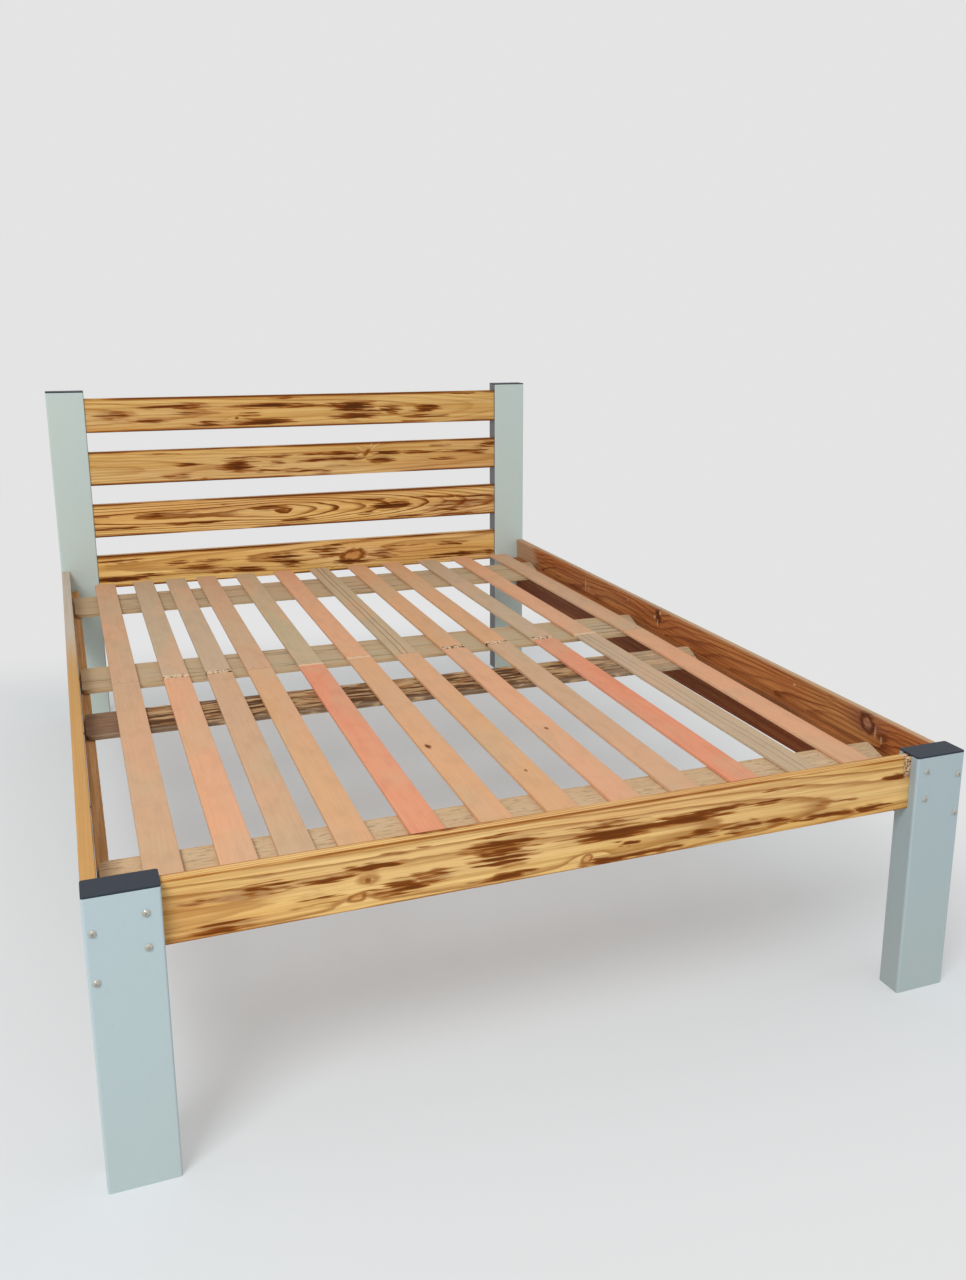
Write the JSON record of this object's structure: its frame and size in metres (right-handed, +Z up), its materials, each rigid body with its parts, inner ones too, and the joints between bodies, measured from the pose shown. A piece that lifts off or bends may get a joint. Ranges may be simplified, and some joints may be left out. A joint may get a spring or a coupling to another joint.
{
  "type": "double bed",
  "caption": "Double bed with rectangular steel-tube posts, a scorched-pine board headboard and foot rail, plank side rails and drop-in slat panels on ledger strips.",
  "frame": {"origin": "on the floor under the middle of the bed", "axes": "+X to the right as seen from the foot, +Y from foot to head, +Z up"},
  "size_m": [1.434, 2.126, 0.952],
  "materials": {
    "post_paint": "satin pale blue-grey paint",
    "cap_plastic": "matt charcoal moulded plastic",
    "scorched_pine": "scorched and varnished, satin",
    "rail_pine": "reddish-brown stain, satin",
    "ledger_pine": "rough sawn, stained brown",
    "sawn_pine": "raw, rough sawn",
    "dark_pine": "raw, dark brown, rough sawn",
    "slat_tan": "raw, planed",
    "slat_orange": "raw, planed",
    "slat_peach": "raw, planed",
    "slat_coral": "raw, planed, reddish",
    "slat_grey": "raw, planed, greyish",
    "dome_paint": "painted over, satin",
    "zinc_steel": "zinc plated"
  },
  "bodies": {
    "root": {"head_post_left": "post_paint", "head_cap_left": "cap_plastic", "head_post_right": "post_paint", "head_cap_right": "cap_plastic", "foot_post_left": "post_paint", "foot_cap_left": "cap_plastic", "foot_post_right": "post_paint", "foot_cap_right": "cap_plastic", "headboard_top_board": "scorched_pine", "headboard_upper_board": "scorched_pine", "headboard_lower_board": "scorched_pine", "headboard_bottom_board": "scorched_pine", "foot_rail": "scorched_pine", "side_rail_left": "rail_pine", "ledger_left": "ledger_pine", "side_rail_right": "rail_pine", "ledger_right": "ledger_pine", "head_cross_board": "sawn_pine", "mid_cross_board": "sawn_pine", "foot_cross_board": "sawn_pine", "low_cross_board": "dark_pine", "head_slat_01": "slat_tan", "head_slat_02": "slat_tan", "head_slat_03": "slat_grey", "head_slat_04": "slat_tan", "head_slat_05": "slat_grey", "head_slat_06": "slat_coral", "head_slat_07": "slat_grey", "head_slat_08": "slat_orange", "head_slat_09": "slat_orange", "head_slat_10": "slat_grey", "head_slat_11": "slat_orange", "head_slat_12": "slat_tan", "foot_slat_01": "slat_orange", "foot_slat_02": "slat_coral", "foot_slat_03": "slat_tan", "foot_slat_04": "slat_orange", "foot_slat_05": "slat_coral", "foot_slat_06": "slat_orange", "foot_slat_07": "slat_tan", "foot_slat_08": "slat_peach", "foot_slat_09": "slat_tan", "foot_slat_10": "slat_coral", "foot_slat_11": "slat_grey", "foot_slat_12": "slat_peach", "rail_bolts": "dome_paint", "headboard_screws": "dome_paint", "foot_rail_screws": "dome_paint", "barrel_nuts": "zinc_steel", "ledger_screws": "zinc_steel", "joint_nails": "zinc_steel", "panel_nails": "zinc_steel"}
  },
  "joints": []
}
